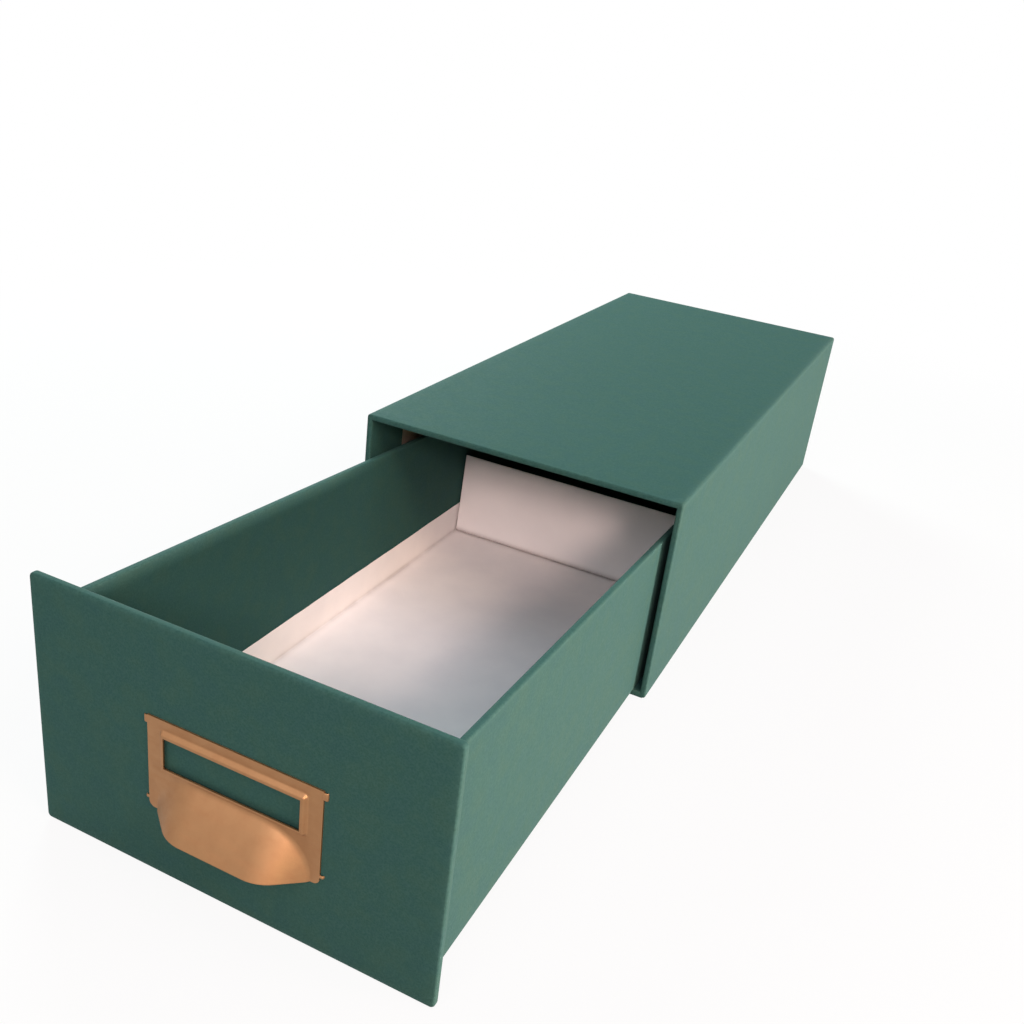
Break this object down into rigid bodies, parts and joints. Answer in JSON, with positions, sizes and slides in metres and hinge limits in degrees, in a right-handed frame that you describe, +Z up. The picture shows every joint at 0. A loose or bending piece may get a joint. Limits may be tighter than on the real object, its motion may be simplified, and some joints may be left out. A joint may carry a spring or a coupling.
{
  "type": "index card box",
  "caption": "Paper-covered board slipcase with a pull-out card drawer, a stamped label-holder cup pull on its front and a sliding folded card stop inside.",
  "frame": {"origin": "middle of the case's underside, on the surface that the box stands on", "axes": "+Z up, -Y towards the drawer front, +X to the right as seen from the front"},
  "size_m": [0.146, 0.5341, 0.092],
  "materials": {
    "grey_board": "bare grey-brown bookbinding board with fine fibre flecks",
    "stay_tape": "gummed kraft paper tape",
    "green_paper": "dark green covering paper with a fine leather-like grain, matt with a slight sheen",
    "white_paper": "plain white lining paper, matt",
    "white_card": "plain white card, matt",
    "coppered_steel": "satin copper-gold plated stamped sheet"
  },
  "bodies": {
    "case": {"case_top_board": "grey_board", "case_bottom_board": "grey_board", "case_left_board": "grey_board", "case_right_board": "grey_board", "case_back_board": "grey_board", "case_edge_stays": "stay_tape", "case_cover": "green_paper", "case_base_sheet": "green_paper", "case_back_sheet": "green_paper"},
    "drawer": {"drawer_front_wall": "grey_board", "drawer_back_wall": "grey_board", "drawer_left_wall": "grey_board", "drawer_right_wall": "grey_board", "drawer_bottom": "grey_board", "drawer_corner_stays": "stay_tape", "drawer_wrap": "green_paper", "drawer_liner": "white_paper", "front_panel_board": "grey_board", "front_panel_cover": "green_paper", "label_pull": "coppered_steel"},
    "stop": {"card_stop": "white_card"}
  },
  "joints": [
    {"name": "drawer_slide", "type": "slide", "parent": "case", "child": "drawer", "axis": [0, -1, 0], "range_m": [-0.1807, 0.1]},
    {"name": "stop_slide", "type": "slide", "parent": "drawer", "child": "stop", "axis": [0, 1, 0], "range_m": [-0.26, 0.0415]}
  ]
}
